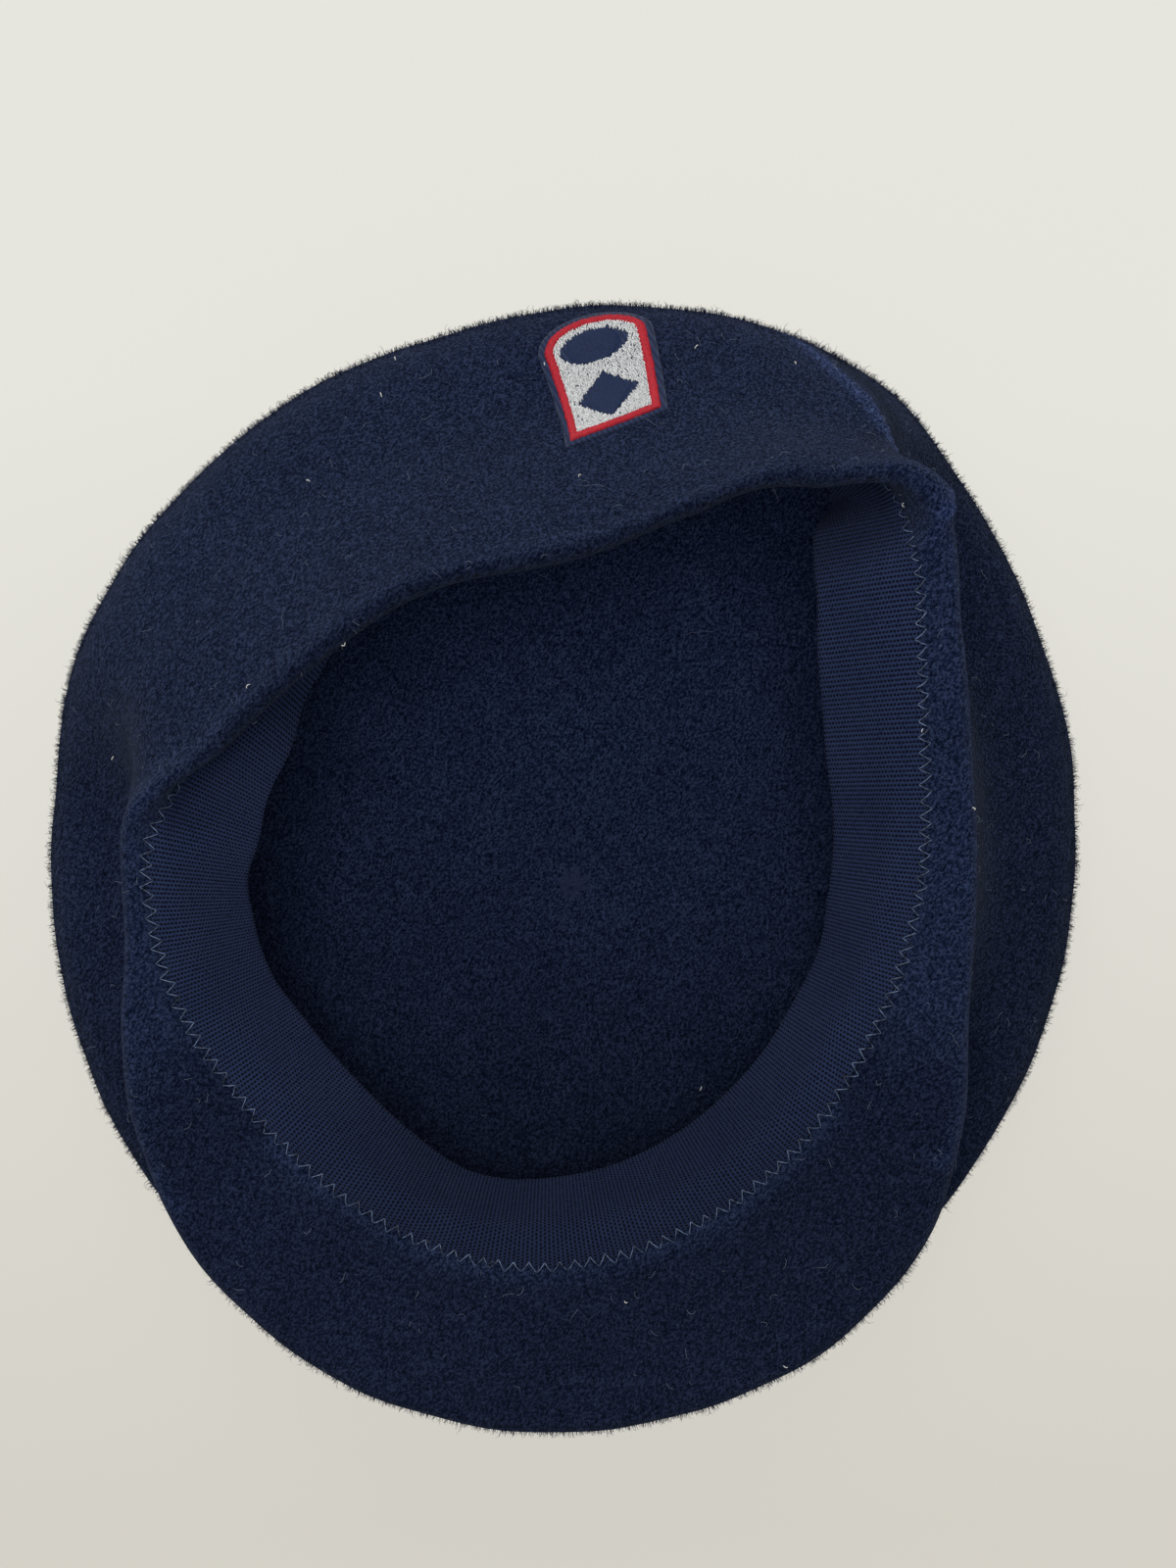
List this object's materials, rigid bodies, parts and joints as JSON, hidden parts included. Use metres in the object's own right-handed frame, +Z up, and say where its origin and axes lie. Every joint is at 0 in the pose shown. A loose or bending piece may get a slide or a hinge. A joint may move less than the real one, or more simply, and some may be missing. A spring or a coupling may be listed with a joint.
{
  "type": "felt beret cap with short peak",
  "caption": "Moulded wool felt beret-style cap with a soft flat crown, a short peak and a knitted sweatband, lying on its crown with the head opening up.",
  "frame": {"origin": "middle of the box's base, on the surface that the flat crown lies on", "axes": "+Z up out of the head opening, +Y towards the back of the cap, -Y towards the peak"},
  "size_m": [0.254, 0.275, 0.0659],
  "materials": {
    "navy_felt": "milled wool felt with a short raised nap",
    "knitted_ribbon": "fine ribbed knit, matte",
    "clear_thread": "fine glossy monofilament thread",
    "peak_board": "plain stiffening board",
    "navy_wool_yarn": "wool yarn",
    "badge_cloth": "felt cloth, even",
    "red_satin": "satin stitch",
    "white_chain": "chain stitch",
    "navy_satin": "satin stitch",
    "navy_thread": "fine sewing thread"
  },
  "bodies": {
    "root": {"felt_body": "navy_felt", "peak_board": "peak_board", "sweatband": "knitted_ribbon", "sweatband_zigzag_stitches": "clear_thread", "sweatband_seam_stitches": "navy_thread", "crown_closing_knot": "navy_wool_yarn", "badge_backing": "badge_cloth", "badge_border": "red_satin", "badge_field": "white_chain", "badge_motif": "navy_satin", "badge_edge_stitches": "navy_thread"}
  },
  "joints": []
}
